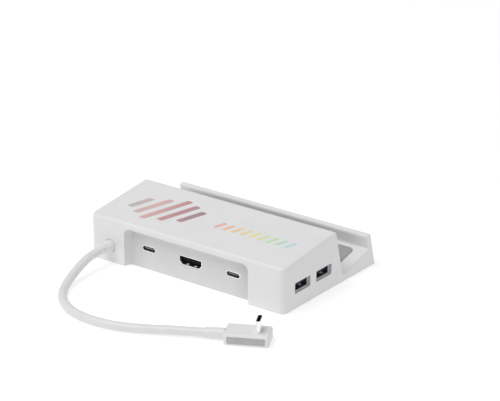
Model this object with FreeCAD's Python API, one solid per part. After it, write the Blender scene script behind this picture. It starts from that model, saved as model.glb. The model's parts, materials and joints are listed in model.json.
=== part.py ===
import FreeCAD, Part
import math
import os

# Dock for a handheld game console: a wedge housing with a cradle slot behind it, ports on the front
# and both ends, and a short fixed cable. Millimetres, +Z up, origin on the floor under the middle of
# the dock without its cable. +X runs along the dock to the right of someone facing the port side,
# +Y runs from the port side to the cradle.

Vector = FreeCAD.Vector
ORIGIN = Vector(0, 0, 0)
X_AXIS = Vector(1, 0, 0)
Y_AXIS = Vector(0, 1, 0)
Z_AXIS = Vector(0, 0, 1)
TINY = 1e-4

# Housing
BODY_WIDTH = 126.4
TOP_DEPTH = 46.4  # front face to the back edge of the top
FRONT_HEIGHT = 24.8  # bottom rim to the front edge of the top
BACK_HEIGHT = 30.0  # bottom rim to the back edge of the top
REST_LEAN = 14.0  # degrees that the rear wall leans from upright
SHELF_BASE_GAP = 0.13  # base cover to the underside of the shelf at the foot of the rear wall
SLOT_DEPTH = 24.5  # rear wall to lip, along the shelf
LIP_HEIGHT = 8.0
LIP_THICKNESS = 3.6
WALL = 2.0
CORNER_RADIUS = 3.0  # upright front corners
EDGE_RADIUS = 1.5  # top and end edges
REST_TOP_RADIUS = 1.6
SLOT_CORNER_RADIUS = 0.8
LIP_EDGE_RADIUS = 1.5

# Port recess in the front face
RECESS_WIDTH = 81.2
RECESS_DEPTH = 4.1
RECESS_HEIGHT = 21.5
RECESS_CORNER_RADIUS = 3.6
RECESS_RIM_RADIUS = 0.3
RECESS_FOOT_RADIUS = 3.2  # where its sides and top meet the panel

# Base cover, feet and screws
BASE_THICKNESS = 1.4
BASE_CLEARANCE = 0.2
FOOT_LENGTH = 18.0
FOOT_WIDTH = 7.0
FOOT_INSET = 0.9
FOOT_RISE = 0.5  # floor to bottom rim
FOOT_EDGE = 0.3
FOOT_END_GAP = 23.0  # from each end of the housing to a foot's middle
FRONT_FOOT_DEPTH = 15.0
REAR_FOOT_DEPTH = 66.0
POST_RADIUS = 2.7
POST_WALL_GAP = 0.4
SCREW_POCKET_RADIUS = 3.3  # thicker base round each screw
SCREW_POCKET_HEIGHT = 2.6
REAR_POST_END_GAP = 8.5
REAR_POST_DEPTH = 72.0
BASE_SCREW_HEAD_RADIUS = 2.1
BASE_SCREW_HEAD_HEIGHT = 1.2
BASE_SCREW_RADIUS = 1.1
BASE_SCREW_LENGTH = 4.0
SCREW_CLEARANCE = 0.05
HEAD_CLEARANCE = 0.3
PILOT_RUN_OUT = 0.5

# Soft pads in the cradle
PAD_END_GAP = 7.5
PAD_THICKNESS = 1.2
PAD_INSET = 0.6
PAD_CORNER_RADIUS = 2.5
PAD_CLEARANCE = 0.1
SHELF_PAD_WIDTH = 18.0
SHELF_PAD_START = 3.2  # from the foot of the rear wall
REST_PAD_HEIGHT = 15.0
REST_PAD_START = 7.0

# Circuit board
BOARD_TOP = 8.3  # above the bottom rim
BOARD_THICKNESS = 1.6
BOARD_GAP = 0.5
STANDOFF_RADIUS = 2.6
BOARD_SCREW_HEAD_RADIUS = 1.8
BOARD_SCREW_HEAD_HEIGHT = 1.1
BOARD_SCREW_RADIUS = 0.9
BOARD_SCREW_LENGTH = 5.0
FRONT_STANDOFF_DEPTH = 10.0
REAR_STANDOFF_END_GAP = 18.5
REAR_STANDOFF_DEPTH = 44.0
SCREW_CROSS_WIDTH = 0.5
SCREW_CROSS_DEPTH = 0.5

# Ports
PORT_CLEARANCE = 0.1
PORT_SETBACK = 0.1  # mouth behind the face that it opens in
FRONT_PORT_PITCH = 27.6
FRONT_PORT_SHIFT = 0.5  # middle one to the right of the housing's middle
FRONT_SOCKET_METAL = 0.5
RIGHT_PORT_DEPTHS = (16.3, 35.0)
LEFT_PORT_DEPTH = 30.0
SPRING_LENGTH = 2.0
SPRING_WIDTH = 1.4

TYPE_A_WIDTH = 13.2
TYPE_A_HEIGHT = 5.7
TYPE_A_METAL = 0.4
TYPE_A_LENGTH = 14.0
TYPE_A_CORNER = 0.6
TYPE_A_SETBACK = 1.6  # mouth behind the end face
TYPE_A_TONGUE_WIDTH = 11.1
TYPE_A_TONGUE_THICKNESS = 1.84
TYPE_A_TONGUE_DROP = 0.65  # below the roof of the socket
TYPE_A_TONGUE_SETBACK = 1.0
TYPE_A_BLOCK = 4.5  # moulding behind the tongue
TYPE_A_CONTACT_PLACES = (-3.5, -1.0, 1.0, 3.5)
TYPE_A_CONTACT_WIDTH = 1.0
TYPE_A_SPRING_PLACES = (-3.4, 3.4)
TYPE_A_SPRING_START = 2.1
TYPE_A_SPRING_HEIGHT = 0.7
CONTACT_START = 0.8  # behind the tip of the tongue

VIDEO_WIDTH = 15.1
VIDEO_HEIGHT = 5.5
VIDEO_LENGTH = 11.5
VIDEO_RISE = 0.2  # moulding under the socket
VIDEO_CORNER = 0.6
VIDEO_TAPER_HEIGHT = 2.0
VIDEO_FLOOR_WIDTH = 11.2
VIDEO_TONGUE_WIDTH = 10.4
VIDEO_TONGUE_THICKNESS = 1.4
VIDEO_TONGUE_HEIGHT = 3.0
VIDEO_TONGUE_SETBACK = 1.2
VIDEO_BLOCK = 3.0
VIDEO_CONTACT_PITCH = 1.0
VIDEO_CONTACT_WIDTH = 0.45
VIDEO_CONTACT_COUNT = 10
VIDEO_SPRING_PLACES = (-2.6, 2.6)
VIDEO_SPRING_START = 0.4
VIDEO_SPRING_HEIGHT = 0.5

TYPE_C_WIDTH = 9.34
TYPE_C_HEIGHT = 3.56
TYPE_C_LENGTH = 7.8
TYPE_C_RISE = 1.55
TYPE_C_FOOT_WIDTH = 5.6
TYPE_C_TONGUE_WIDTH = 6.6
TYPE_C_TONGUE_THICKNESS = 0.7
TYPE_C_TONGUE_SETBACK = 0.9
TYPE_C_BLOCK = 2.4
TYPE_C_CONTACT_PITCH = 0.5
TYPE_C_CONTACT_WIDTH = 0.26
TYPE_C_CONTACT_COUNT = 12
TYPE_C_CONTACT_START = 0.3
RISER_BACK = 0.8
CONTACT_HEIGHT = 0.1

# Components on the board: size along X, along Y, height, and place from the middle and the front
HUB_CHIP = (9.0, 9.0, 0.9)
HUB_CHIP_PLACE = (20.0, 30.0)
VIDEO_CHIP = (8.0, 8.0, 0.9)
VIDEO_CHIP_PLACE = (0.0, 25.0)
POWER_CHIP = (5.0, 5.0, 0.8)
POWER_CHIP_PLACE = (41.2, 24.0)  # from the left end and the front of the housing
INDUCTOR = (7.0, 7.0, 3.0)
INDUCTOR_PLACE = (30.2, 24.0)  # from the left end and the front of the housing
CRYSTAL = (3.2, 2.5, 0.8)
CRYSTAL_PLACES = ((9.5, 33.0), (30.0, 36.0))
CAPACITOR = (2.0, 1.25, 1.2)
CAPACITOR_ROW = 6
CAPACITOR_PITCH = 4.0
CAPACITOR_DEPTHS = (18.0, 38.0)
CHIP_EDGE = 0.15

# Cable, gland and angled plug
CABLE_DIAMETER = 4.8
CABLE_LEG_SHARE = 0.57  # of the left leg's width, from the end of the housing
CABLE_HEIGHT = 9.2  # above the bottom rim
GLAND_DIAMETER = 6.8
GLAND_LENGTH = 5.0
GLAND_END_RADIUS = 0.9
GLAND_FLANGE_DIAMETER = 8.4
GLAND_FLANGE_THICKNESS = 1.6
GLAND_CLEARANCE = 0.15
TAIL_GAP = 0.4
WIRE_DIAMETER = 0.9
WIRE_PITCH = 1.0
WIRE_COUNT = 4
WIRE_LANDING = 6.0
PLUG_WIDTH = 14.0
PLUG_LENGTH = 23.0
PLUG_THICKNESS = 6.4
PLUG_CORNER_RADIUS = 1.8
PLUG_EDGE_RADIUS = 1.2
INLAY_END_GAP = 2.0  # from either end of the plug
INLAY_HEIGHT = 3.6
INLAY_THICKNESS = 0.6
INLAY_SETBACK = 0.2  # of its face behind the plug's side
INLAY_CORNER_RADIUS = 0.5
INLAY_CLEARANCE = 0.05
BOOT_LENGTH = 10.0
BOOT_DIAMETER = 6.2
BOOT_TIP_DIAMETER = 5.6
TIP_WIDTH = 8.25
TIP_HEIGHT = 2.4
TIP_LENGTH = 6.65
TIP_METAL = 0.25
TIP_SETBACK = 6.0  # tip's middle from the far end of the plug
TIP_SLOT_WIDTH = 6.9
TIP_SLOT_THICKNESS = 0.9
TIP_SLOT_DEPTH = 5.2

# Cable on the floor: corners between its straight start at the gland and its straight end at the
# boot, as X and Y from the gland's outer end and the cord's lift off the floor
CABLE_CORNERS = (
    (0.6, -22.1, 3.8),
    (3.8, -35.1, 0.5),
    (11.6, -48.1, 0.0),
    (24.8, -57.5, 0.0),
    (41.2, -60.7, 0.0),
    (57.6, -58.3, 0.0),
    (72.6, -51.7, 0.2),
)
CABLE_START_RUN = 11.0
CABLE_END_RUN = 14.0
CABLE_END_HEADING = 27.0  # degrees from +X towards +Y
ARC_SHARE = 0.45  # share of the shorter run that a bend takes


# Side profile of the housing, as depth from the front face and height above the bottom rim
LEAN = math.radians(REST_LEAN)
LEAN_SIN = math.sin(LEAN)
LEAN_COS = math.cos(LEAN)
LEAN_TAN = math.tan(LEAN)
SHELF_HEIGHT = BASE_THICKNESS + SHELF_BASE_GAP + WALL * (LEAN_SIN + LEAN_COS)  # at the foot of the rear wall
FOOT_OF_REST = (TOP_DEPTH + (BACK_HEIGHT - SHELF_HEIGHT) * LEAN_TAN, SHELF_HEIGHT)
SHELF_END = (FOOT_OF_REST[0] + SLOT_DEPTH * LEAN_COS, SHELF_HEIGHT + SLOT_DEPTH * LEAN_SIN)
LIP_INNER = (SHELF_END[0] - LIP_HEIGHT * LEAN_SIN, SHELF_END[1] + LIP_HEIGHT * LEAN_COS)
LIP_OUTER = (LIP_INNER[0] + LIP_THICKNESS * LEAN_COS, LIP_INNER[1] + LIP_THICKNESS * LEAN_SIN)
BODY_DEPTH = LIP_OUTER[0] + LIP_OUTER[1] * LEAN_TAN
TOP_SLOPE = (BACK_HEIGHT - FRONT_HEIGHT) / TOP_DEPTH

# Places that several pieces share, in the part's frame
HALF_WIDTH = BODY_WIDTH / 2
FRONT = -BODY_DEPTH / 2
RIM = FOOT_RISE
PANEL = FRONT + RECESS_DEPTH
PANEL_BACK = PANEL + WALL
INNER_HALF_WIDTH = HALF_WIDTH - WALL
INNER_FRONT = FRONT + WALL
RECESS_BLOCK_HALF = RECESS_WIDTH / 2 + WALL
RISER_START = WALL + BOARD_GAP - PORT_SETBACK  # front edge of the board, behind a front socket's mouth
BASE_TOP = RIM + BASE_THICKNESS
POST_BOTTOM = RIM + SCREW_POCKET_HEIGHT
BOARD_TOP_Z = RIM + BOARD_TOP
BOARD_BOTTOM_Z = BOARD_TOP_Z - BOARD_THICKNESS
CABLE_PLACE = CABLE_LEG_SHARE * (HALF_WIDTH - RECESS_WIDTH / 2) - HALF_WIDTH
CABLE_Z = RIM + CABLE_HEIGHT
CABLE_RADIUS = CABLE_DIAMETER / 2
GLAND_END = FRONT - GLAND_LENGTH
SHELF_UNDERSIDE_END = SHELF_END[1] - WALL / LEAN_COS
CAVITY_REAR = BODY_DEPTH - SHELF_UNDERSIDE_END * LEAN_TAN - WALL

POST_INSET = WALL + POST_WALL_GAP + POST_RADIUS
FRONT_LEFT_POST = (POST_INSET - HALF_WIDTH, FRONT + POST_INSET + GLAND_FLANGE_THICKNESS + WALL)
FRONT_RIGHT_POST = (HALF_WIDTH - POST_INSET, FRONT + POST_INSET)
REAR_POST_PLACE = HALF_WIDTH - REAR_POST_END_GAP
REAR_POSTS = tuple((side * REAR_POST_PLACE, FRONT + REAR_POST_DEPTH) for side in (-1, 1))
POSTS = (FRONT_LEFT_POST, FRONT_RIGHT_POST) + REAR_POSTS
BETWEEN_FRONT_PORTS = (VIDEO_WIDTH / 2 + FRONT_PORT_PITCH - TYPE_C_WIDTH / 2) / 2
STANDOFFS = tuple(
    (side * place, FRONT + depth)
    for place, depth in (
        (BETWEEN_FRONT_PORTS, FRONT_STANDOFF_DEPTH),
        (HALF_WIDTH - REAR_STANDOFF_END_GAP, REAR_STANDOFF_DEPTH),
    )
    for side in (-1, 1)
)


def rounded_wire(corners):
    """Closed wire through (point, radius) corners, where a radius of 0 keeps a corner sharp."""
    bends = []
    count = len(corners)
    for i, (point, radius) in enumerate(corners):
        to_last = (corners[i - 1][0] - point).normalize()
        to_next = (corners[(i + 1) % count][0] - point).normalize()
        half_angle = to_last.getAngle(to_next) / 2
        reach = radius / math.tan(half_angle)
        inward = (to_last + to_next).normalize()
        middle = point + inward * (radius / math.sin(half_angle) - radius)
        bends.append((point + to_last * reach, middle, point + to_next * reach, radius))
    edges = []
    for i, (start, middle, end, radius) in enumerate(bends):
        if radius > 0:
            edges.append(Part.Arc(start, middle, end).toShape())
        following = bends[(i + 1) % count][0]
        if (following - end).Length > TINY:
            edges.append(Part.LineSegment(end, following).toShape())
    return Part.Wire(edges)


def prism_along_x(corners, x_start, x_end):
    """Prism of (y, z, radius) corners between two places along X."""
    wire = rounded_wire([(Vector(x_start, y, z), radius) for y, z, radius in corners])
    return Part.Face(wire).extrude(X_AXIS * (x_end - x_start))


def prism_along_y(corners, y_start, y_end):
    """Prism of (x, z, radius) corners between two places along Y."""
    wire = rounded_wire([(Vector(x, y_start, z), radius) for x, z, radius in corners])
    return Part.Face(wire).extrude(Y_AXIS * (y_end - y_start))


def prism_along_z(corners, z_start, z_end):
    """Prism of (x, y, radius) corners between two heights."""
    wire = rounded_wire([(Vector(x, y, z_start), radius) for x, y, radius in corners])
    return Part.Face(wire).extrude(Z_AXIS * (z_end - z_start))


def rectangle(width, low, high, radius):
    """Corners of a rectangle that is centred across and runs from low to high."""
    half = width / 2
    return ((-half, low, radius), (half, low, radius), (half, high, radius), (-half, high, radius))


def grown(face, distance):
    """Flat face whose outline is moved outwards by a distance, or inwards where it is negative."""
    return Part.Face(face.OuterWire.makeOffset2D(distance))


def block(x_range, y_range, z_range):
    size = [high - low for low, high in (x_range, y_range, z_range)]
    return Part.makeBox(*size, Vector(x_range[0], y_range[0], z_range[0]))


def upright_cylinder(radius, place, z_start, z_end):
    return Part.makeCylinder(radius, z_end - z_start, Vector(place[0], place[1], z_start))


def fused(shapes):
    whole = shapes[0].fuse(list(shapes[1:]))
    return whole.removeSplitter()


def moved(shape, place, turn=0.0):
    """Copy of a shape turned about Z by degrees and then moved to a place."""
    copy = shape.copy()
    copy.rotate(ORIGIN, Z_AXIS, turn)
    copy.translate(place)
    return copy


def leaned(shape):
    """Shape built about the foot of an upright rear wall, turned with the wall's lean."""
    copy = shape.copy()
    copy.rotate(ORIGIN, X_AXIS, REST_LEAN)
    copy.translate(Vector(0, FRONT + FOOT_OF_REST[0], RIM + FOOT_OF_REST[1]))
    return copy


def save(name, shape):
    shape.exportStep(os.path.join("parts", name + ".step"))


def every_point(edge, test):
    """Whether points along an edge all pass a test."""
    first, last = edge.ParameterRange
    steps = 4
    return all(test(edge.valueAt(first + (last - first) * i / steps)) for i in range(steps + 1))


# Outlines of the ports, in the XZ plane with the seat on the board at height 0
def type_a_face():
    corners = rectangle(TYPE_A_WIDTH, 0, TYPE_A_HEIGHT, TYPE_A_CORNER)
    return Part.Face(rounded_wire([(Vector(x, 0, z), radius) for x, z, radius in corners]))


def video_face():
    floor = VIDEO_RISE
    half = VIDEO_WIDTH / 2
    half_floor = VIDEO_FLOOR_WIDTH / 2
    right = (
        (half_floor, floor),
        (half, floor + VIDEO_TAPER_HEIGHT),
        (half, floor + VIDEO_HEIGHT),
    )
    left = tuple((-x, z) for x, z in reversed(right))
    return Part.Face(rounded_wire([(Vector(x, 0, z), VIDEO_CORNER) for x, z in right + left]))


def stadium_face(width, height, low):
    """Flat oval with round ends, whose lowest point is at a height."""
    radius = height / 2
    half_flat = width / 2 - radius
    top = Vector(0, 0, low + height)
    bottom = Vector(0, 0, low)
    end = Vector(half_flat, 0, 0)
    tip = Vector(width / 2, 0, low + radius)
    mirrored_tip = Vector(-width / 2, 0, low + radius)
    return Part.Face(
        Part.Wire(
            [
                Part.LineSegment(bottom - end, bottom + end).toShape(),
                Part.Arc(bottom + end, tip, top + end).toShape(),
                Part.LineSegment(top + end, top - end).toShape(),
                Part.Arc(top - end, mirrored_tip, bottom - end).toShape(),
            ]
        )
    )


def type_c_face():
    return stadium_face(TYPE_C_WIDTH, TYPE_C_HEIGHT, TYPE_C_RISE)


def socket_shell(face, length, metal):
    """Metal sleeve of a socket, open at its mouth and at its back."""
    sleeve = face.extrude(Y_AXIS * length)
    return sleeve.cut(grown(face, -metal).extrude(Y_AXIS * length))


def springs(places, floor, start, height):
    """Ramps pressed up from a sleeve's floor behind its mouth."""
    ramp = (
        (start, floor, 0),
        (start + SPRING_LENGTH / 2, floor + height, 0),
        (start + SPRING_LENGTH, floor, 0),
    )
    return [prism_along_x(ramp, x - SPRING_WIDTH / 2, x + SPRING_WIDTH / 2) for x in places]


def contact_row(count, pitch, width, y_range, z_range):
    """Strips side by side along X."""
    first = -pitch * (count - 1) / 2
    middles = [first + pitch * i for i in range(count)]
    return [block((x - width / 2, x + width / 2), y_range, z_range) for x in middles]


def type_a_socket():
    """Sleeve, moulding and contacts of a wide data socket whose mouth faces -Y."""
    face = type_a_face()
    roof = TYPE_A_HEIGHT - TYPE_A_METAL
    pressed = springs(TYPE_A_SPRING_PLACES, TYPE_A_METAL, TYPE_A_SPRING_START, TYPE_A_SPRING_HEIGHT)
    shell = fused([socket_shell(face, TYPE_A_LENGTH, TYPE_A_METAL)] + pressed)
    block_start = TYPE_A_LENGTH - TYPE_A_BLOCK
    rear = grown(face, -TYPE_A_METAL).extrude(Y_AXIS * TYPE_A_BLOCK)
    rear.translate(Y_AXIS * block_start)
    tongue_top = roof - TYPE_A_TONGUE_DROP
    tongue_bottom = tongue_top - TYPE_A_TONGUE_THICKNESS
    half = TYPE_A_TONGUE_WIDTH / 2
    tongue = block((-half, half), (TYPE_A_TONGUE_SETBACK, block_start), (tongue_bottom, tongue_top))
    contact_run = (TYPE_A_TONGUE_SETBACK + CONTACT_START, block_start)
    contact_level = (tongue_bottom - CONTACT_HEIGHT, tongue_bottom)
    contacts = [
        block((x - TYPE_A_CONTACT_WIDTH / 2, x + TYPE_A_CONTACT_WIDTH / 2), contact_run, contact_level)
        for x in TYPE_A_CONTACT_PLACES
    ]
    return {
        "shell": shell,
        "tongue": fused([rear, tongue]),
        "contacts": Part.makeCompound(contacts),
    }


def riser(width, length, rise, height):
    """Moulding under and behind a socket that lifts it off the board."""
    half = width / 2
    under = block((-half, half), (RISER_START, length), (0, rise))
    behind = block((-half, half), (length, length + RISER_BACK), (0, rise + height))
    return [under, behind]


def tongue_contacts(count, pitch, width, contact_run, low, high):
    below = contact_row(count, pitch, width, contact_run, (low - CONTACT_HEIGHT, low))
    above = contact_row(count, pitch, width, contact_run, (high, high + CONTACT_HEIGHT))
    return Part.makeCompound(below + above)


def raised_socket(face, sizes, tongue, contacts, spring_places):
    """Sleeve, moulding and contacts of a raised front socket whose mouth faces -Y."""
    length, rise, height, foot_width, rear_length = sizes
    tongue_width, tongue_low, tongue_high, tongue_setback, contact_start = tongue
    floor = rise + FRONT_SOCKET_METAL
    pressed = springs(spring_places, floor, VIDEO_SPRING_START, VIDEO_SPRING_HEIGHT)
    shell = fused([socket_shell(face, length, FRONT_SOCKET_METAL)] + pressed)
    rear = grown(face, -FRONT_SOCKET_METAL).extrude(Y_AXIS * rear_length)
    rear.translate(Y_AXIS * (length - rear_length))
    half = tongue_width / 2
    blade = block((-half, half), (tongue_setback, length - rear_length), (tongue_low, tongue_high))
    contact_run = (tongue_setback + contact_start, length - rear_length)
    return {
        "shell": shell,
        "tongue": fused([rear, blade] + riser(foot_width, length, rise, height)),
        "contacts": tongue_contacts(*contacts, contact_run, tongue_low, tongue_high),
    }


def video_socket():
    low = VIDEO_RISE + VIDEO_TONGUE_HEIGHT - VIDEO_TONGUE_THICKNESS / 2
    high = low + VIDEO_TONGUE_THICKNESS
    tongue = (VIDEO_TONGUE_WIDTH, low, high, VIDEO_TONGUE_SETBACK, CONTACT_START)
    sizes = (VIDEO_LENGTH, VIDEO_RISE, VIDEO_HEIGHT, VIDEO_TONGUE_WIDTH, VIDEO_BLOCK)
    contacts = (VIDEO_CONTACT_COUNT, VIDEO_CONTACT_PITCH, VIDEO_CONTACT_WIDTH)
    return raised_socket(video_face(), sizes, tongue, contacts, VIDEO_SPRING_PLACES)


def type_c_socket():
    low = TYPE_C_RISE + TYPE_C_HEIGHT / 2 - TYPE_C_TONGUE_THICKNESS / 2
    high = low + TYPE_C_TONGUE_THICKNESS
    tongue = (TYPE_C_TONGUE_WIDTH, low, high, TYPE_C_TONGUE_SETBACK, TYPE_C_CONTACT_START)
    sizes = (TYPE_C_LENGTH, TYPE_C_RISE, TYPE_C_HEIGHT, TYPE_C_FOOT_WIDTH, TYPE_C_BLOCK)
    contacts = (TYPE_C_CONTACT_COUNT, TYPE_C_CONTACT_PITCH, TYPE_C_CONTACT_WIDTH)
    return raised_socket(type_c_face(), sizes, tongue, contacts, ())


# Ports: name, pieces, outline, place of the mouth on the board's level, and turn about Z
def ports():
    middle = Vector(FRONT_PORT_SHIFT, PANEL + PORT_SETBACK, BOARD_TOP_Z)
    step = X_AXIS * FRONT_PORT_PITCH
    right = HALF_WIDTH - TYPE_A_SETBACK
    list_of_ports = [
        ("type_c_left", type_c_socket, type_c_face, middle - step, 0),
        ("video", video_socket, video_face, middle, 0),
        ("type_c_right", type_c_socket, type_c_face, middle + step, 0),
    ]
    for end, depth in zip(("front", "rear"), RIGHT_PORT_DEPTHS):
        place = Vector(right, FRONT + depth, BOARD_TOP_Z)
        list_of_ports.append((f"type_a_right_{end}", type_a_socket, type_a_face, place, 90))
    place = Vector(-right, FRONT + LEFT_PORT_DEPTH, BOARD_TOP_Z)
    list_of_ports.append(("type_a_left", type_a_socket, type_a_face, place, -90))
    return list_of_ports


def port_cutters():
    """Prisms that open the housing's walls round each socket."""
    reach = TYPE_A_SETBACK + WALL
    cutters = []
    for _, _, face, place, turn in ports():
        cutter = grown(face(), PORT_CLEARANCE).extrude(Y_AXIS * 2 * reach)
        cutter.translate(Y_AXIS * -reach)
        cutters.append(moved(cutter, place, turn))
    return cutters


# Housing
def outer_body():
    """Wedge with the cradle behind it, as one solid with rounded edges."""
    profile = (
        (0, 0, 0),
        (0, FRONT_HEIGHT, 0),
        (TOP_DEPTH, BACK_HEIGHT, REST_TOP_RADIUS),
        (*FOOT_OF_REST, SLOT_CORNER_RADIUS),
        (*SHELF_END, SLOT_CORNER_RADIUS),
        (*LIP_INNER, LIP_EDGE_RADIUS),
        (*LIP_OUTER, LIP_EDGE_RADIUS),
        (BODY_DEPTH, 0, 0),
    )
    in_frame = [(FRONT + depth, RIM + height, radius) for depth, height, radius in profile]
    body = prism_along_x(in_frame, -HALF_WIDTH, HALF_WIDTH)
    uprights = [e for e in body.Edges if every_point(e, lambda p: abs(p.y - FRONT) < TINY and on_end(p))]
    body = body.makeFillet(CORNER_RADIUS, uprights)
    return body.makeFillet(EDGE_RADIUS, [e for e in body.Edges if is_rounded_edge(e)])


def on_end(point):
    return abs(abs(point.x) - HALF_WIDTH) < TINY


def is_rounded_edge(edge):
    """Edges round the ends and along the front of the top, but not those at the bottom rim."""
    corner_end = FRONT + CORNER_RADIUS + TINY

    def on_top_front(point):
        top = RIM + FRONT_HEIGHT + (point.y - FRONT) * TOP_SLOPE
        return abs(point.z - top) < TINY and point.y < corner_end

    def on_end_outline(point):
        return on_end(point) and point.z > RIM - TINY

    at_rim = every_point(edge, lambda p: abs(p.z - RIM) < TINY)
    at_corner = every_point(edge, lambda p: p.y < corner_end)
    on_outline = every_point(edge, on_end_outline) and not at_rim and not at_corner
    return on_outline or every_point(edge, on_top_front)


def recess_prism(growth, depth):
    """Space of the port recess, open at the front and at the bottom, grown by a wall's thickness."""
    outline = rectangle(RECESS_WIDTH + 2 * growth, -RIM, RIM + RECESS_HEIGHT + growth, 0)
    corner = RECESS_CORNER_RADIUS + growth
    top_rounded = [(x, z, corner if z > 0 else 0) for x, z, _ in outline]
    return prism_along_y(top_rounded, FRONT - WALL, FRONT + depth)


def recess_edges(body, y):
    """Edges along the sides and the top of the port recess at its mouth or at its panel."""
    half = RECESS_WIDTH / 2 + TINY

    def at_depth(point):
        return abs(point.y - y) < TINY and abs(point.x) < half and point.z > RIM - TINY

    edges = [e for e in body.Edges if every_point(e, at_depth)]
    return [e for e in edges if not every_point(e, lambda p: abs(p.z - RIM) < TINY)]


def open_recess(body):
    """Body with the port recess cut into its front face, and the recess's edges rounded."""
    body = body.cut(recess_prism(0, RECESS_DEPTH))
    body = body.makeFillet(RECESS_RIM_RADIUS, recess_edges(body, FRONT))
    return body.makeFillet(RECESS_FOOT_RADIUS, recess_edges(body, PANEL))


def cavity():
    """Hollow inside the housing, open at the bottom and standing clear of the port recess."""
    inner_top = FRONT_HEIGHT - WALL * math.hypot(1, TOP_SLOPE)
    rest_offset = WALL / LEAN_COS
    rest_line = FOOT_OF_REST[0] + SHELF_HEIGHT * LEAN_TAN - rest_offset
    roof_end = (rest_line - inner_top * LEAN_TAN) / (1 + TOP_SLOPE * LEAN_TAN)
    shelf_line = SHELF_HEIGHT - FOOT_OF_REST[0] * LEAN_TAN - rest_offset
    corner = (rest_line - shelf_line * LEAN_TAN) / (1 + LEAN_TAN**2)
    profile = (
        (WALL, -RIM),
        (WALL, inner_top + WALL * TOP_SLOPE),
        (roof_end, inner_top + roof_end * TOP_SLOPE),
        (corner, shelf_line + corner * LEAN_TAN),
        (CAVITY_REAR, shelf_line + CAVITY_REAR * LEAN_TAN),
        (CAVITY_REAR, -RIM),
    )
    in_frame = [(FRONT + depth, RIM + height, 0) for depth, height in profile]
    hollow = prism_along_x(in_frame, -INNER_HALF_WIDTH, INNER_HALF_WIDTH)
    return hollow.cut(recess_prism(WALL, RECESS_DEPTH + WALL))


def pad_plate(low, high, growth):
    """Outline of a cradle pad across X, from low to high, grown by a clearance."""
    length = BODY_WIDTH - 2 * (PAD_END_GAP - growth)
    return rectangle(length, low - growth, high + growth, PAD_CORNER_RADIUS + growth)


def shelf_pad(growth=0.0):
    corners = pad_plate(SHELF_PAD_START, SHELF_PAD_START + SHELF_PAD_WIDTH, growth)
    return leaned(prism_along_z(corners, -PAD_INSET, PAD_THICKNESS - PAD_INSET))


def rest_pad(growth=0.0):
    corners = pad_plate(REST_PAD_START, REST_PAD_START + REST_PAD_HEIGHT, growth)
    return leaned(prism_along_y(corners, -PAD_INSET, PAD_THICKNESS - PAD_INSET))


def cable_cylinder(radius, y_start, y_end):
    return Part.makeCylinder(radius, y_end - y_start, Vector(CABLE_PLACE, y_start, CABLE_Z), Y_AXIS)


def main_housing():
    body = open_recess(outer_body())
    posts = [upright_cylinder(POST_RADIUS, p, POST_BOTTOM, RIM + BACK_HEIGHT).common(body) for p in POSTS]
    shell = fused([body.cut(cavity())] + posts)
    pilot_end = RIM + BASE_SCREW_HEAD_HEIGHT + BASE_SCREW_LENGTH + PILOT_RUN_OUT
    pilot_radius = BASE_SCREW_RADIUS + SCREW_CLEARANCE
    pilots = [upright_cylinder(pilot_radius, p, RIM, pilot_end) for p in POSTS]
    gland_hole = cable_cylinder(GLAND_DIAMETER / 2 + GLAND_CLEARANCE, FRONT - WALL, INNER_FRONT)
    cutters = pilots + port_cutters() + [gland_hole, shelf_pad(PAD_CLEARANCE), rest_pad(PAD_CLEARANCE)]
    return shell.cut(cutters)


# Base cover, feet and screws
def foot_places():
    from_middle = HALF_WIDTH - FOOT_END_GAP
    return {
        f"foot_{end}_{side_name}": (side * from_middle, FRONT + depth)
        for end, depth in (("front", FRONT_FOOT_DEPTH), ("rear", REAR_FOOT_DEPTH))
        for side_name, side in (("left", -1), ("right", 1))
    }


def foot(place, z_start, z_end):
    outline = rectangle(FOOT_LENGTH, -FOOT_WIDTH / 2, FOOT_WIDTH / 2, FOOT_WIDTH / 2 - TINY)
    pad = prism_along_z(outline, z_start, z_end)
    return moved(pad, Vector(place[0], place[1], 0))


def rubber_foot(place):
    pad = foot(place, 0, FOOT_RISE + FOOT_INSET)
    floor_edges = [e for e in pad.Edges if every_point(e, lambda p: p.z < TINY)]
    return pad.makeChamfer(FOOT_EDGE, floor_edges)


def base_cover():
    side = INNER_HALF_WIDTH - BASE_CLEARANCE
    leg = RECESS_BLOCK_HALF + BASE_CLEARANCE
    front = INNER_FRONT + BASE_CLEARANCE
    notch = PANEL_BACK + BASE_CLEARANCE
    rear = FRONT + CAVITY_REAR - BASE_CLEARANCE
    outline = (
        (-side, front, 0),
        (-leg, front, 0),
        (-leg, notch, 0),
        (leg, notch, 0),
        (leg, front, 0),
        (side, front, 0),
        (side, rear, 0),
        (-side, rear, 0),
    )
    plate = prism_along_z(outline, RIM, BASE_TOP)
    room = prism_along_z(outline, RIM, POST_BOTTOM)
    standoffs = [upright_cylinder(STANDOFF_RADIUS, p, RIM, BOARD_BOTTOM_Z) for p in STANDOFFS]
    pockets = [upright_cylinder(SCREW_POCKET_RADIUS, p, RIM, POST_BOTTOM).common(room) for p in POSTS]
    cover = fused([plate] + standoffs + pockets)
    screw_seat = RIM + BASE_SCREW_HEAD_HEIGHT
    pilot_start = BOARD_TOP_Z - BOARD_SCREW_LENGTH - PILOT_RUN_OUT
    cutters = [foot(p, 0, RIM + FOOT_INSET) for p in foot_places().values()]
    for place in POSTS:
        cutters.append(upright_cylinder(BASE_SCREW_HEAD_RADIUS + HEAD_CLEARANCE, place, 0, screw_seat))
        cutters.append(upright_cylinder(BASE_SCREW_RADIUS + HEAD_CLEARANCE, place, 0, POST_BOTTOM))
    for place in STANDOFFS:
        pilot_radius = BOARD_SCREW_RADIUS + SCREW_CLEARANCE
        cutters.append(upright_cylinder(pilot_radius, place, pilot_start, BOARD_BOTTOM_Z))
    return cover.cut(cutters)


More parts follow.
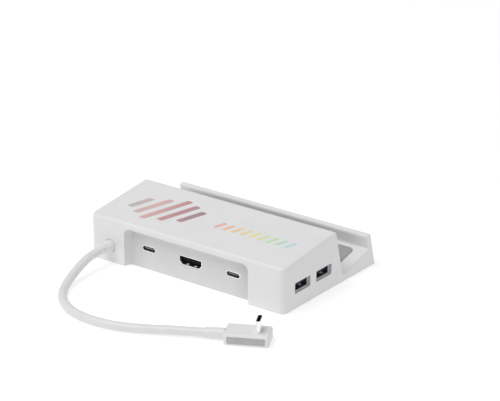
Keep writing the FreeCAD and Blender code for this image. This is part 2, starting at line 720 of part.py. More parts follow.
def screw(head_radius, head_height, shank_radius, shank_length):
    """Cross-head screw whose head stands on height 0."""
    head = Part.makeCylinder(head_radius, head_height)
    shank = Part.makeCylinder(shank_radius, shank_length, Vector(0, 0, -shank_length))
    arm = head_radius * 2 / 3
    half = SCREW_CROSS_WIDTH / 2
    depth_range = (head_height - SCREW_CROSS_DEPTH, head_height)
    cross = [
        block((-arm, arm), (-half, half), depth_range),
        block((-half, half), (-arm, arm), depth_range),
    ]
    return fused([head, shank]).cut(cross)


def base_screws():
    sizes = (BASE_SCREW_HEAD_RADIUS, BASE_SCREW_HEAD_HEIGHT, BASE_SCREW_RADIUS, BASE_SCREW_LENGTH)
    upturned = screw(*sizes)
    upturned.rotate(ORIGIN, X_AXIS, 180)
    seat = RIM + BASE_SCREW_HEAD_HEIGHT
    return Part.makeCompound([moved(upturned, Vector(x, y, seat)) for x, y in POSTS])


def board_screws():
    sizes = (BOARD_SCREW_HEAD_RADIUS, BOARD_SCREW_HEAD_HEIGHT, BOARD_SCREW_RADIUS, BOARD_SCREW_LENGTH)
    single = screw(*sizes)
    return Part.makeCompound([moved(single, Vector(x, y, BOARD_TOP_Z)) for x, y in STANDOFFS])


# Circuit board and its components
def board_left_notch():
    """Front edge of the board where the cable comes in, clear of the housing's left post."""
    return FRONT_LEFT_POST[1] + POST_RADIUS + BOARD_GAP


def main_board():
    side = INNER_HALF_WIDTH - BOARD_GAP
    front = PANEL_BACK + BOARD_GAP
    rest_at_board = FOOT_OF_REST[0] - (BOARD_TOP - SHELF_HEIGHT) * LEAN_TAN
    rear = FRONT + rest_at_board - WALL / LEAN_COS - BOARD_GAP
    left_notch = board_left_notch()
    right_notch = FRONT_RIGHT_POST[1] + POST_RADIUS + BOARD_GAP
    left_edge = CABLE_PLACE + GLAND_FLANGE_DIAMETER / 2 + BOARD_GAP
    right_edge = FRONT_RIGHT_POST[0] - POST_RADIUS - BOARD_GAP
    outline = (
        (left_edge, front, 0),
        (right_edge, front, 0),
        (right_edge, right_notch, 0),
        (side, right_notch, 0),
        (side, rear, 0),
        (-side, rear, 0),
        (-side, left_notch, 0),
        (left_edge, left_notch, 0),
    )
    plate = prism_along_z(outline, BOARD_BOTTOM_Z, BOARD_TOP_Z)
    hole_radius = BOARD_SCREW_RADIUS + HEAD_CLEARANCE
    return plate.cut([upright_cylinder(hole_radius, p, BOARD_BOTTOM_Z, BOARD_TOP_Z) for p in STANDOFFS])


def component(size, place):
    """Moulded body on the board with its upper edges broken."""
    length, width, height = size
    x_start = place[0] - length / 2
    y_start = FRONT + place[1] - width / 2
    top = BOARD_TOP_Z + height
    body = block((x_start, x_start + length), (y_start, y_start + width), (BOARD_TOP_Z, top))
    upper = [e for e in body.Edges if every_point(e, lambda p: p.z > top - TINY)]
    return body.makeChamfer(CHIP_EDGE, upper)


def from_left_end(place):
    return (place[0] - HALF_WIDTH, place[1])


def capacitors():
    """Two rows beside the inductor."""
    first = from_left_end(INDUCTOR_PLACE)[0] - CAPACITOR_PITCH * (CAPACITOR_ROW - 1) / 2
    bodies = [
        component(CAPACITOR, (first + CAPACITOR_PITCH * i, depth))
        for depth in CAPACITOR_DEPTHS
        for i in range(CAPACITOR_ROW)
    ]
    return Part.makeCompound(bodies)


# Cable
def gland():
    """Strain relief moulded on the cable, held behind the front wall by its flange."""
    collar = cable_cylinder(GLAND_DIAMETER / 2, GLAND_END, INNER_FRONT)
    end_edges = [e for e in collar.Edges if every_point(e, lambda p: abs(p.y - GLAND_END) < TINY)]
    collar = collar.makeFillet(GLAND_END_RADIUS, end_edges)
    flange_end = INNER_FRONT + GLAND_FLANGE_THICKNESS
    flange = cable_cylinder(GLAND_FLANGE_DIAMETER / 2, INNER_FRONT, flange_end)
    return fused([collar, flange]).cut(cable_cylinder(CABLE_RADIUS, GLAND_END, flange_end))


def tail_end():
    return board_left_notch() - TAIL_GAP


def cable_tail():
    """Cable from the gland's outer face to its stripped end inside the housing."""
    return cable_cylinder(CABLE_RADIUS, GLAND_END, tail_end())


def cable_wires():
    """Cores of the cable, laid side by side on the board."""
    first = CABLE_PLACE - WIRE_PITCH * (WIRE_COUNT - 1) / 2
    height = BOARD_TOP_Z + WIRE_DIAMETER / 2
    starts = [Vector(first + WIRE_PITCH * i, tail_end(), height) for i in range(WIRE_COUNT)]
    length = TAIL_GAP + WIRE_LANDING
    return Part.makeCompound([Part.makeCylinder(WIRE_DIAMETER / 2, length, s, Y_AXIS) for s in starts])


def cable_route():
    """Corners of the cable's path from the gland to the plug's boot."""
    start = Vector(CABLE_PLACE, GLAND_END, CABLE_Z)
    heading = math.radians(CABLE_END_HEADING)
    forward = Vector(math.cos(heading), math.sin(heading), 0)
    on_floor = [Vector(start.x + x, start.y + y, CABLE_RADIUS + lift) for x, y, lift in CABLE_CORNERS]
    corners = [start - Y_AXIS * CABLE_START_RUN] + on_floor
    at_plug_height = Vector(corners[-1].x, corners[-1].y, PLUG_THICKNESS / 2)
    ends = [at_plug_height + forward * CABLE_END_RUN * count for count in (1, 2)]
    return [start] + corners + ends


def cord_path(points):
    """Straight runs joined by tangent arcs, each as large as the shorter of its two runs allows."""
    edges = []
    radii = []
    reached = points[0]
    for before, corner, after in zip(points, points[1:], points[2:]):
        back = before - corner
        onward = after - corner
        reach = ARC_SHARE * min(back.Length, onward.Length)
        half_turn = (math.pi - back.getAngle(onward)) / 2
        radius = reach / math.tan(half_turn)
        back.normalize()
        onward.normalize()
        start = corner + back * reach
        end = corner + onward * reach
        inward = (back + onward).normalize()
        middle = corner + inward * (radius / math.cos(half_turn) - radius)
        edges.append(Part.LineSegment(reached, start).toShape())
        edges.append(Part.Arc(start, middle, end).toShape())
        radii.append(radius)
        reached = end
    edges.append(Part.LineSegment(reached, points[-1]).toShape())
    return Part.Wire(edges), radii


def host_cable():
    points = cable_route()
    path, radii = cord_path(points)
    section = Part.Wire(Part.makeCircle(CABLE_RADIUS, points[0], points[1] - points[0]))
    tube = path.makePipeShell([section], True, False)
    print("cable length", round(path.Length, 2), "bend radii", [round(r, 1) for r in radii])
    print("tube volume over section times length", tube.Volume / (path.Length * math.pi * CABLE_RADIUS**2))
    return tube


# Angled plug, built with the cable coming along +X and the tip upwards, then moved to the cable's end
def at_cable_end(shape):
    points = cable_route()
    return moved(shape, Vector(points[-1].x, points[-1].y, 0), CABLE_END_HEADING)


def plug_boot():
    axis_start = Vector(0, 0, PLUG_THICKNESS / 2)
    return Part.makeCone(BOOT_TIP_DIAMETER / 2, BOOT_DIAMETER / 2, BOOT_LENGTH, axis_start, X_AXIS)


def tip_sleeve(outline, z_start, z_end):
    """Prism of a tip outline, standing where the plug's tip stands."""
    upright = outline.extrude(Y_AXIS * (z_end - z_start))
    upright.rotate(ORIGIN, X_AXIS, 90)
    upright.rotate(ORIGIN, Z_AXIS, 90)
    upright.translate(Vector(BOOT_LENGTH + PLUG_LENGTH - TIP_SETBACK, 0, z_start))
    return upright


def tip_outline(growth=0.0):
    return stadium_face(TIP_WIDTH + 2 * growth, TIP_HEIGHT + 2 * growth, -TIP_HEIGHT / 2 - growth)


def inlay_plates(growth, outer):
    """Plates along the plug's two long sides, from the pockets' floors out to a distance from its middle."""
    start = BOOT_LENGTH + INLAY_END_GAP - growth
    end = BOOT_LENGTH + PLUG_LENGTH - INLAY_END_GAP + growth
    low = (PLUG_THICKNESS - INLAY_HEIGHT) / 2 - growth
    high = (PLUG_THICKNESS + INLAY_HEIGHT) / 2 + growth
    radius = INLAY_CORNER_RADIUS + growth
    outline = ((start, low, radius), (end, low, radius), (end, high, radius), (start, high, radius))
    inner = PLUG_WIDTH / 2 - INLAY_SETBACK - INLAY_THICKNESS
    return [prism_along_y(outline, *span) for span in ((-outer, -inner), (inner, outer))]


def plug_inlays():
    return Part.makeCompound(inlay_plates(0, PLUG_WIDTH / 2 - INLAY_SETBACK))


def plug_body():
    half = PLUG_WIDTH / 2
    end = BOOT_LENGTH + PLUG_LENGTH
    outline = (
        (BOOT_LENGTH, -half, PLUG_CORNER_RADIUS),
        (end, -half, PLUG_CORNER_RADIUS),
        (end, half, PLUG_CORNER_RADIUS),
        (BOOT_LENGTH, half, PLUG_CORNER_RADIUS),
    )
    body = prism_along_z(outline, 0, PLUG_THICKNESS)
    flat = [e for e in body.Edges if every_point(e, lambda p: p.z < TINY or p.z > PLUG_THICKNESS - TINY)]
    return body.makeFillet(PLUG_EDGE_RADIUS, flat).cut(inlay_plates(INLAY_CLEARANCE, PLUG_WIDTH))


def plug_tip():
    tip_end = PLUG_THICKNESS + TIP_LENGTH
    sleeve = tip_sleeve(tip_outline(), PLUG_THICKNESS, tip_end)
    return sleeve.cut(tip_sleeve(tip_outline(-TIP_METAL), PLUG_THICKNESS, tip_end))


def plug_insulator():
    tip_end = PLUG_THICKNESS + TIP_LENGTH
    core = tip_sleeve(tip_outline(-TIP_METAL), PLUG_THICKNESS, tip_end - TIP_METAL)
    middle = BOOT_LENGTH + PLUG_LENGTH - TIP_SETBACK
    half_thickness = TIP_SLOT_THICKNESS / 2
    half_width = TIP_SLOT_WIDTH / 2
    slot = block(
        (middle - half_thickness, middle + half_thickness),
        (-half_width, half_width),
        (tip_end - TIP_SLOT_DEPTH, tip_end),
    )
    return core.cut(slot)


def save_ports():
    for name, socket, _, place, turn in ports():
        for piece, shape in socket().items():
            save(f"{name}_{piece}", moved(shape, place, turn))


def main():
    os.makedirs("parts", exist_ok=True)
    save("main_housing", main_housing())
    save("base_cover", base_cover())
    for name, place in foot_places().items():
        save(name, rubber_foot(place))
    save("base_screws", base_screws())
    save("shelf_pad", shelf_pad())
    save("rest_pad", rest_pad())
    save("main_board", main_board())
    save("board_screws", board_screws())
    save("hub_chip", component(HUB_CHIP, HUB_CHIP_PLACE))
    save("video_chip", component(VIDEO_CHIP, VIDEO_CHIP_PLACE))
    save("power_chip", component(POWER_CHIP, from_left_end(POWER_CHIP_PLACE)))
    save("power_inductor", component(INDUCTOR, from_left_end(INDUCTOR_PLACE)))
    save("crystals", Part.makeCompound([component(CRYSTAL, place) for place in CRYSTAL_PLACES]))
    save("capacitors", capacitors())
    save_ports()
    save("cable_gland", gland())
    save("cable_tail", cable_tail())
    save("cable_wires", cable_wires())
    save("host_cable", host_cable())
    save("plug_boot", at_cable_end(plug_boot()))
    save("plug_body", at_cable_end(plug_body()))
    save("plug_inlays", at_cable_end(plug_inlays()))
    save("plug_tip", at_cable_end(plug_tip()))
    save("plug_insulator", at_cable_end(plug_insulator()))


main()
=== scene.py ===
import json
import math

import bmesh
import bpy
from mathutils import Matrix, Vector


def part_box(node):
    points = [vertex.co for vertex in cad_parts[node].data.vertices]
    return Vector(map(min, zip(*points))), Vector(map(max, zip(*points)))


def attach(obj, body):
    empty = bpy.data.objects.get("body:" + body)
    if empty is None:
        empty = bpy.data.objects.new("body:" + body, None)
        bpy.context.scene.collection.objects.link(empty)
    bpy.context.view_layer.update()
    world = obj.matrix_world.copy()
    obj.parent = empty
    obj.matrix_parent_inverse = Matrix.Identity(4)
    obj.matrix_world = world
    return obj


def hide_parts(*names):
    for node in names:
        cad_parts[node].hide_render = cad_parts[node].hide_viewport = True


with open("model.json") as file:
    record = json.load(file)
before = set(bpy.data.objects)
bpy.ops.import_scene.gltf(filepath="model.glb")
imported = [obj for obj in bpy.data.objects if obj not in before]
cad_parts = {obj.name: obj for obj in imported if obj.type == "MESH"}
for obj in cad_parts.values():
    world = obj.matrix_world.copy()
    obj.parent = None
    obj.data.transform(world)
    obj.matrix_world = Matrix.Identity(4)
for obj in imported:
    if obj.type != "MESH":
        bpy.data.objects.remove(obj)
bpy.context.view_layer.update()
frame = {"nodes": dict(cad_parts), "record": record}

# Looks of a white game console dock. Metres, in the frame of the CAD part.
ROOT = "root"

# Camera, from a fit to the photograph
CAMERA_PLACE = (0.6838, -0.9018, 0.4921)
CAMERA_ELEVATION = 22.03  # degrees that it looks down
CAMERA_AZIMUTH = 36.72  # degrees that it is turned to the left
CAMERA_LENS = 167.1
CAMERA_SENSOR = 36.0
CAMERA_CLIP_START = 0.01

# Cable, with the control points of its line
CABLE_DIAMETER = 0.0048
CABLE_BEVEL_RESOLUTION = 8
CABLE_RESOLUTION = 20
CABLE_ROUTE = (
    (-0.05032, -0.04642, 0.00970),
    (-0.05032, -0.05742, 0.00970),
    (-0.04972, -0.06852, 0.00620),
    (-0.04652, -0.08152, 0.00290),
    (-0.03872, -0.09452, 0.00240),
    (-0.02552, -0.10392, 0.00240),
    (-0.00912, -0.10712, 0.00240),
    (0.00728, -0.10472, 0.00240),
    (0.02228, -0.09812, 0.00260),
    (0.03476, -0.09176, 0.00320),
    (0.04723, -0.08541, 0.00320),
)

# Main housing: places of its front face and its right end, from the frame
HOUSING_LOW, HOUSING_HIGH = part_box("main_housing")
FRONT_FACE = HOUSING_LOW[1]
END_FACE = HOUSING_HIGH[0]

# Sloped top that the print lies on
TOP_FRONT_HEIGHT = 0.0253
TOP_RISE = 0.0052
TOP_DEPTH = 0.0464

# Port recess in the front, and the shares of painted shade that darken its plastic in place of the
# shadow of its lip and walls
RECESS_HALF = 0.0406  # half its width
RECESS_TOP = 0.0220
RECESS_DEPTH = 0.0041
RECESS_MARGIN = 0.0001  # past its walls
PANEL_MARGIN = 0.0002  # past its panel
RECESS_LIP = 0.0004  # depth to which its walls stay free of painted shade
RECESS_PAINTED_SHADES_UPWARD = (0.10, 0.15)  # at the floor and at its top
RECESS_SIDE_WIDTH = 0.015  # over which the painted shade grows towards a side
RECESS_SIDE_PAINTED_SHADE = 0.12

# Openings in the ends, and the shares of painted shade that darken the plastic of their walls and floors
END_WALL = 0.0020
END_FACE_MARGIN = 0.00005  # behind the end's face
OPENING_DEPTHS = (0.006, 0.045)  # behind the front face
OPENING_HEIGHTS = (0.007, 0.016)
OPENING_FLOORS = (0.0090, 0.0100)  # heights over which floors pass into walls
OPENING_PAINTED_SHADES = (0.05, 0.28)  # on the floors and on the walls

# Sleeves of sockets with painted shade inside
END_SLEEVES = ("type_a_right_front_shell", "type_a_right_rear_shell", "type_a_left_shell")
END_SLEEVE = {
    "wall": 0.0004,
    "fade": (0.00035, 0.0005),  # depths over which the painted shade sets in behind the bright rim
    "springs": (0.0020, 0.0042),  # depths between which the springs lie
    # Colour of the painted shade, tinted blue as painted light reflected from the blue tongue
    "dark": (0.055, 0.072, 0.095),
}
FRONT_SLEEVES = ("video_shell",)
FRONT_SLEEVE = {
    "wall": 0.0005,
    "fade": (0.00005, 0.00015),
    "springs": (0.0003, 0.0025),
    # Colour of the painted shade
    "dark": (0.05, 0.05, 0.05),
}
SPRING_RISE = (0.00005, 0.0009)  # heights over the sleeve's floor
SPRINGS_HALF = 0.0045  # half the width that the springs take up
SLEEVE_METALLIC = 0.25

# Noise in the materials
NOISE_DETAIL = 3.0
NOISE_BAND = (0.35, 0.65)  # values over which a colour goes from dark to light
RELIEF_STRENGTH = 1.0

# Print on the top: slanted bars and a row of slanted dashes, as thin films of ink
INK_THICKNESS = 0.00004
PRINT_LEAN = math.radians(24)
PRINT_DEPTH = 0.0225  # of the middles of both rows, behind the front face
CORNER_STEPS = 6
BARS = {
    "lengths": (0.014, 0.022, 0.030, 0.024, 0.016),
    "width": 0.0038,
    "corner_radius": 0.0009,
    "start": -0.047,
    "pitch": 0.0085,
    "colour_span": (-0.053, -0.006),
    "colours": (
        (0.0, (0.50, 0.50, 0.51)),
        (0.35, (0.70, 0.46, 0.44)),
        (0.6, (0.56, 0.30, 0.31)),
        (1.0, (0.33, 0.25, 0.28)),
    ),
}
DASHES = {
    "lengths": (0.0072,) * 9,
    "width": 0.0022,
    "corner_radius": 0.0006,
    "start": 0.006,
    "pitch": 0.0056,
    "colour_span": (0.004, 0.053),
    "colours": (
        (0.0, (0.86, 0.42, 0.44)),
        (0.25, (0.88, 0.60, 0.36)),
        (0.5, (0.84, 0.78, 0.36)),
        (0.75, (0.54, 0.76, 0.46)),
        (1.0, (0.52, 0.72, 0.80)),
    ),
}

# Floor and light
FLOOR_HALF = 3.0
FLOOR_GLOW = 0.55
WHITE = (1, 1, 1, 1)
WORLD_STRENGTH = 0.50
KEY_PLACE = (-0.25, -0.60, 1.45)
KEY_SIZE = 1.2
KEY_POWER = 13.2


def new_object(name, data):
    """Object that is added to the scene."""
    item = bpy.data.objects.new(name, data)
    bpy.context.scene.collection.objects.link(item)
    return item


def make_camera():
    data = bpy.data.cameras.new("camera")
    data.lens = CAMERA_LENS
    data.sensor_width = CAMERA_SENSOR
    data.clip_start = CAMERA_CLIP_START
    camera = new_object("camera", data)
    camera.location = CAMERA_PLACE
    camera.rotation_euler = (math.radians(90 - CAMERA_ELEVATION), 0, math.radians(CAMERA_AZIMUTH))
    bpy.context.scene.camera = camera


def make_cable(material):
    curve = bpy.data.curves.new("cable", "CURVE")
    curve.dimensions = "3D"
    curve.bevel_depth = CABLE_DIAMETER / 2
    curve.bevel_resolution = CABLE_BEVEL_RESOLUTION
    curve.resolution_u = CABLE_RESOLUTION
    curve.use_fill_caps = True
    spline = curve.splines.new("NURBS")
    spline.points.add(len(CABLE_ROUTE) - 1)
    for point, place in zip(spline.points, CABLE_ROUTE):
        point.co = (*place, 1)
    spline.order_u = 3
    spline.use_endpoint_u = True
    curve.materials.append(material)
    cable = new_object("cable", curve)
    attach(cable, ROOT)
    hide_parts("host_cable")


# Materials
def fill_inputs(node, values):
    """Set a node's inputs by their names, with _ for a space."""
    for name, value in values.items():
        node.inputs[name.replace("_", " ")].default_value = value


class Surface:
    """Principled material whose colour, roughness and relief come from noise in the object's space."""

    def __init__(self, name):
        self.name = name
        self.material = bpy.data.materials.new(name)
        self.material.use_nodes = True
        self.tree = self.material.node_tree
        self.shader = self.tree.nodes["Principled BSDF"]
        self.place = self.tree.nodes.new("ShaderNodeTexCoord").outputs["Object"]

    def add(self, kind, **values):
        """New node with these values on its inputs."""
        node = self.tree.nodes.new(kind)
        fill_inputs(node, values)
        return node

    def link(self, source, target):
        self.tree.links.new(source, target)

    def set(self, **values):
        """Constants on the shader itself."""
        fill_inputs(self.shader, values)
        return self

    def noise(self, grain):
        """Noise whose blotches are about one grain across."""
        node = self.add("ShaderNodeTexNoise", Scale=1 / grain, Detail=NOISE_DETAIL)
        self.link(self.place, node.inputs["Vector"])
        return node.outputs["Fac"]

    def ramp(self, value, stops):
        """Colour that runs through the stops while a value runs from 0 to 1."""
        node = self.add("ShaderNodeValToRGB")
        elements = node.color_ramp.elements
        while len(elements) < len(stops):
            elements.new(0.5)
        for element, (position, colour) in zip(elements, stops):
            element.position = position
            element.color = (*colour, 1)
        self.link(value, node.inputs["Fac"])
        return node.outputs["Color"]

    def axes(self):
        """X, Y and Z of a place in the object's space."""
        node = self.add("ShaderNodeSeparateXYZ")
        self.link(self.place, node.inputs["Vector"])
        return node.outputs

    def calculate(self, operation, *values):
        """Result of an operation on numbers and outputs of other nodes."""
        node = self.add("ShaderNodeMath")
        node.operation = operation
        for value, socket in zip(values, node.inputs):
            if isinstance(value, float):
                socket.default_value = value
            else:
                self.link(value, socket)
        return node.outputs["Value"]

    def product(self, first, *others):
        for other in others:
            first = self.calculate("MULTIPLY", first, other)
        return first

    def between(self, value, low, high):
        """1 where a value lies between two limits, and 0 elsewhere."""
        above = self.calculate("GREATER_THAN", value, low)
        below = self.calculate("LESS_THAN", value, high)
        return self.product(above, below)

    def spread(self, value, start, end, low, high):
        """Value that runs from low to high while another runs from start to end."""
        node = self.add("ShaderNodeMapRange", From_Min=start, From_Max=end, To_Min=low, To_Max=high)
        self.link(value, node.inputs["Value"])
        return node.outputs["Result"]

    def colour(self, grain, dark, light, shaded=None, shade=(0, 0, 0)):
        """Mottled colour, mixed towards a shade colour by a share of painted shade that varies over the
        surface.
        """
        colour = self.ramp(self.noise(grain), tuple(zip(NOISE_BAND, (dark, light))))
        if shaded:
            mix = self.add("ShaderNodeMixRGB", Color2=(*shade, 1))
            self.link(shaded, mix.inputs["Fac"])
            self.link(colour, mix.inputs["Color1"])
            colour = mix.outputs["Color"]
        self.link(colour, self.shader.inputs["Base Color"])
        return self

    def roughness(self, grain, low, high):
        self.link(self.spread(self.noise(grain), 0, 1, low, high), self.shader.inputs["Roughness"])
        return self

    def relief(self, grain, depth):
        bump = self.add("ShaderNodeBump", Strength=RELIEF_STRENGTH, Distance=depth)
        self.link(self.noise(grain), bump.inputs["Height"])
        self.link(bump.outputs["Normal"], self.shader.inputs["Normal"])
        return self


def grey(level):
    return (level, level, level)


def painted_recess_shade(surface):
    """Share of painted shade that darkens the plastic in the port recess, most towards its top and its
    sides.
    """
    axes = surface.axes()
    aside = surface.calculate("ABSOLUTE", axes["X"])
    behind = surface.calculate("SUBTRACT", axes["Y"], FRONT_FACE)
    upward = surface.spread(axes["Z"], 0, RECESS_TOP, *RECESS_PAINTED_SHADES_UPWARD)
    side_start = RECESS_HALF - RECESS_SIDE_WIDTH
    sideways = surface.spread(aside, side_start, RECESS_HALF, 0, RECESS_SIDE_PAINTED_SHADE)
    return surface.product(
        surface.calculate("ADD", upward, sideways),
        surface.calculate("LESS_THAN", aside, RECESS_HALF + RECESS_MARGIN),
        surface.calculate("LESS_THAN", axes["Z"], RECESS_TOP + RECESS_MARGIN),
        surface.calculate("LESS_THAN", behind, RECESS_DEPTH + PANEL_MARGIN),
        surface.spread(behind, RECESS_LIP, RECESS_DEPTH, 0, 1),
    )


def painted_opening_shade(surface):
    """Share of painted shade that darkens the plastic in the openings in the ends, least on their
    floors.
    """
    axes = surface.axes()
    aside = surface.calculate("ABSOLUTE", axes["X"])
    behind = surface.calculate("SUBTRACT", axes["Y"], FRONT_FACE)
    return surface.product(
        surface.spread(axes["Z"], *OPENING_FLOORS, *OPENING_PAINTED_SHADES),
        surface.between(aside, END_FACE - END_WALL, END_FACE - END_FACE_MARGIN),
        surface.between(behind, *OPENING_DEPTHS),
        surface.between(axes["Z"], *OPENING_HEIGHTS),
    )


def white_plastic():
    surface = Surface("white_plastic")
    # Painted shade in the port recess and in the openings in the ends
    shaded = surface.calculate("ADD", painted_recess_shade(surface), painted_opening_shade(surface))
    surface.colour(grain=0.012, dark=grey(0.77), light=grey(0.79), shaded=shaded)
    surface.roughness(grain=0.0009, low=0.40, high=0.52)
    return surface.relief(grain=0.0004, depth=0.000006)


def plated_steel(surface, metallic, shaded=None, shade=(0, 0, 0)):
    """Bright plating of the sockets' sleeves and of the plug's tip."""
    surface.colour(grain=0.003, dark=grey(0.88), light=grey(0.94), shaded=shaded, shade=shade)
    surface.roughness(grain=0.0006, low=0.30, high=0.42)
    return surface.relief(grain=0.0003, depth=0.000004).set(Metallic=metallic)


def painted_shade_sleeve(node):
    """Plated steel of a sleeve, plain at its mouth and on its springs, with painted shade further in."""
    low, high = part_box(node)
    middle = (low + high) / 2
    surface = Surface(node + "_steel")
    axes = surface.axes()
    if node in END_SLEEVES:
        sleeve = END_SLEEVE
        mouth = max(-low[0], high[0])
        depth = surface.calculate("SUBTRACT", mouth, surface.calculate("ABSOLUTE", axes["X"]))
        across = surface.calculate("SUBTRACT", axes["Y"], middle[1])
    else:
        sleeve = FRONT_SLEEVE
        depth = surface.calculate("SUBTRACT", axes["Y"], low[1])
        across = surface.calculate("SUBTRACT", axes["X"], middle[0])
    spring = surface.product(
        surface.between(depth, *sleeve["springs"]),
        surface.between(surface.calculate("SUBTRACT", axes["Z"], low[2] + sleeve["wall"]), *SPRING_RISE),
        surface.between(across, -SPRINGS_HALF, SPRINGS_HALF),
    )
    # Painted shade inside the sleeve, left off its springs
    inside = surface.spread(depth, *sleeve["fade"], 0, 1)
    shaded = surface.product(inside, surface.calculate("SUBTRACT", 1.0, spring))
    return plated_steel(surface, SLEEVE_METALLIC, shaded, sleeve["dark"])


def plastics():
    return (
        white_plastic(),
        Surface("white_cable")
        .colour(grain=0.008, dark=grey(0.73), light=grey(0.76))
        .roughness(grain=0.0012, low=0.34, high=0.46)
        .relief(grain=0.0006, depth=0.000008),
        Surface("socket_black")
        .colour(grain=0.002, dark=(0.006, 0.006, 0.007), light=(0.011, 0.011, 0.012))
        .roughness(grain=0.0006, low=0.42, high=0.58)
        .relief(grain=0.0003, depth=0.000006)
        .set(Specular_IOR_Level=0.12),
        Surface("socket_grey")
        .colour(grain=0.002, dark=grey(0.20), light=grey(0.26))
        .roughness(grain=0.0006, low=0.42, high=0.58)
        .relief(grain=0.0003, depth=0.000006),
        Surface("socket_blue")
        .colour(grain=0.002, dark=(0.006, 0.014, 0.036), light=(0.010, 0.022, 0.055))
        .roughness(grain=0.0006, low=0.40, high=0.55)
        .relief(grain=0.0003, depth=0.000006)
        .set(Specular_IOR_Level=0.25),
        Surface("inlay_grey")
        .colour(grain=0.003, dark=grey(0.43), light=grey(0.47))
        .roughness(grain=0.0006, low=0.38, high=0.50)
        .relief(grain=0.0004, depth=0.000006),
        Surface("core_insulation")
        .colour(grain=0.002, dark=(0.50, 0.06, 0.05), light=(0.60, 0.09, 0.07))
        .roughness(grain=0.0006, low=0.38, high=0.52)
        .relief(grain=0.0004, depth=0.000006),
    )


def metals():
    return (
        plated_steel(Surface("socket_steel"), metallic=1.0),
        Surface("screw_steel")
        .colour(grain=0.002, dark=grey(0.36), light=grey(0.46))
        .roughness(grain=0.0005, low=0.26, high=0.40)
        .relief(grain=0.0003, depth=0.000004)
        .set(Metallic=1.0),
        Surface("contact_gold")
        .colour(grain=0.001, dark=(0.78, 0.56, 0.24), light=(0.86, 0.66, 0.32))
        .roughness(grain=0.0004, low=0.20, high=0.30)
        .relief(grain=0.0003, depth=0.000003)
        .set(Metallic=1.0),
        Surface("crystal_can")
        .colour(grain=0.001, dark=grey(0.60), light=grey(0.70))
        .roughness(grain=0.0004, low=0.22, high=0.34)
        .relief(grain=0.0002, depth=0.000003)
        .set(Metallic=1.0),
    )


def soft_materials():
    return (
        Surface("pad_silicone")
        .colour(grain=0.006, dark=grey(0.34), light=grey(0.38))
        .roughness(grain=0.0008, low=0.62, high=0.80)
        .relief(grain=0.0005, depth=0.000020),
        Surface("foot_rubber")
        .colour(grain=0.004, dark=grey(0.30), light=grey(0.35))
        .roughness(grain=0.0008, low=0.65, high=0.82)
        .relief(grain=0.0005, depth=0.000020),
    )


def board_materials():
    return (
        Surface("board_laminate")
        .colour(grain=0.0015, dark=(0.010, 0.055, 0.026), light=(0.016, 0.085, 0.040))
        .roughness(grain=0.0008, low=0.30, high=0.44)
        .relief(grain=0.0006, depth=0.000010),
        Surface("chip_black")
        .colour(grain=0.001, dark=grey(0.012), light=grey(0.020))
        .roughness(grain=0.0004, low=0.50, high=0.66)
        .relief(grain=0.0002, depth=0.000006),
        Surface("ferrite")
        .colour(grain=0.001, dark=grey(0.045), light=grey(0.070))
        .roughness(grain=0.0005, low=0.55, high=0.75)
        .relief(grain=0.0003, depth=0.000015),
        Surface("capacitor_ceramic")
        .colour(grain=0.001, dark=(0.36, 0.24, 0.14), light=(0.46, 0.32, 0.20))
        .roughness(grain=0.0004, low=0.45, high=0.60)
        .relief(grain=0.0003, depth=0.000006),
    )


def make_materials():
    """Materials by the record's material slots."""
    surfaces = plastics() + metals() + soft_materials() + board_materials()
    return {surface.name: surface.material for surface in surfaces}


def dress_nodes(materials):
    for row in frame["record"]["subparts"]:
        node = row["node"]
        mesh = frame["nodes"][node].data
        mesh.materials.clear()
        if node in END_SLEEVES + FRONT_SLEEVES:
            mesh.materials.append(painted_shade_sleeve(node).material)
        else:
            mesh.materials.append(materials[row["material_slot"]])


# Print on the top
def slanted_bar(middle, width, length):
    """Corners of a bar that runs across the top and leans to the right, as X and depth."""
    along = Vector((math.sin(PRINT_LEAN), math.cos(PRINT_LEAN))) * (length / 2)
    across = Vector((width / 2 / math.cos(PRINT_LEAN), 0))
    return (
        middle - along - across,
        middle - along + across,
        middle + along + across,
        middle + along - across,
    )


def rounded_outline(corners, radius):
    """Points round a closed outline whose corners are rounded."""
    points = []
    for i, corner in enumerate(corners):
        to_last = (corners[i - 1] - corner).normalized()
        to_next = (corners[(i + 1) % len(corners)] - corner).normalized()
        half = to_last.angle(to_next) / 2
        start = corner + to_last * (radius / math.tan(half))
        end = corner + to_next * (radius / math.tan(half))
        centre = corner + (to_last + to_next).normalized() * (radius / math.sin(half))
        for step in range(CORNER_STEPS + 1):
            ray = (start - centre).lerp(end - centre, step / CORNER_STEPS).normalized() * radius
            points.append(centre + ray)
    return points


def row_outlines(row):
    """Outlines of a row of slanted bars along the top."""
    outlines = []
    for i, length in enumerate(row["lengths"]):
        middle = Vector((row["start"] + row["pitch"] * i, PRINT_DEPTH))
        corners = slanted_bar(middle, row["width"], length)
        outlines.append(rounded_outline(corners, row["corner_radius"]))
    return outlines


def on_top(point, lift):
    x, depth = point
    return Vector((x, FRONT_FACE + depth, TOP_FRONT_HEIGHT + TOP_RISE / TOP_DEPTH * depth + lift))


def ink(name, row):
    """Ink whose colour runs along X."""
    surface = Surface(name)
    along = surface.spread(surface.axes()["X"], *row["colour_span"], 0, 1)
    surface.link(surface.ramp(along, row["colours"]), surface.shader.inputs["Base Color"])
    surface.roughness(grain=0.0006, low=0.36, high=0.50)
    return surface.relief(grain=0.0004, depth=0.000004).material


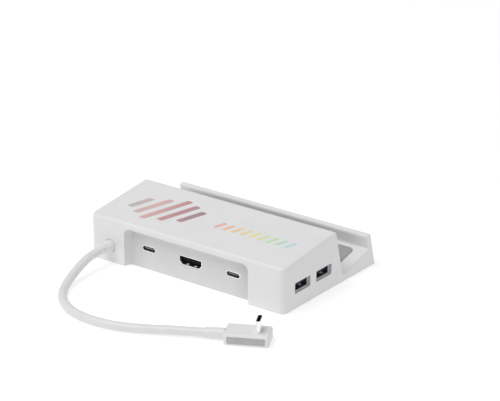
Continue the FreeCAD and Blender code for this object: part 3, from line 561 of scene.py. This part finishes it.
def ink_film(name, outlines, material):
    """Flat films of ink on the sloped top, one for each outline."""
    mesh = bmesh.new()
    for outline in outlines:
        lower = [mesh.verts.new(on_top(point, 0)) for point in outline]
        upper = [mesh.verts.new(on_top(point, INK_THICKNESS)) for point in outline]
        mesh.faces.new(upper)
        mesh.faces.new(list(reversed(lower)))
        for i in range(len(outline)):
            j = (i + 1) % len(outline)
            mesh.faces.new((lower[i], lower[j], upper[j], upper[i]))
    data = bpy.data.meshes.new(name)
    mesh.to_mesh(data)
    mesh.free()
    data.materials.append(material)
    film = new_object(name, data)
    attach(film, ROOT)


def make_print():
    ink_film("print_bars", row_outlines(BARS), ink("bar_ink", BARS))
    ink_film("print_dashes", row_outlines(DASHES), ink("dash_ink", DASHES))


# Floor and light
def make_floor():
    surface = Surface("floor").colour(grain=0.3, dark=grey(0.55), light=grey(0.56))
    surface.roughness(grain=0.02, low=0.75, high=0.85).relief(grain=0.004, depth=0.00001)
    surface.set(Emission_Color=WHITE, Emission_Strength=FLOOR_GLOW)
    signs = ((-1, -1), (1, -1), (1, 1), (-1, 1))
    corners = [(x * FLOOR_HALF, y * FLOOR_HALF, 0) for x, y in signs]
    data = bpy.data.meshes.new("floor")
    data.from_pydata(corners, [], [(0, 1, 2, 3)])
    data.materials.append(surface.material)
    floor = new_object("floor", data)


def make_world():
    world = bpy.data.worlds.new("studio")
    world.use_nodes = True
    background = world.node_tree.nodes["Background"]
    background.inputs["Color"].default_value = WHITE
    background.inputs["Strength"].default_value = WORLD_STRENGTH
    bpy.context.scene.world = world
    bpy.context.scene.view_settings.view_transform = "Standard"


def make_key_light():
    data = bpy.data.lights.new("key", "AREA")
    data.shape = "DISK"
    data.size = KEY_SIZE
    data.energy = KEY_POWER
    light = new_object("key", data)
    light.location = KEY_PLACE
    light.rotation_euler = (-Vector(KEY_PLACE)).to_track_quat("-Z", "Y").to_euler()


make_camera()
materials = make_materials()
make_cable(materials["white_cable"])
dress_nodes(materials)
make_print()
make_floor()
make_world()
make_key_light()
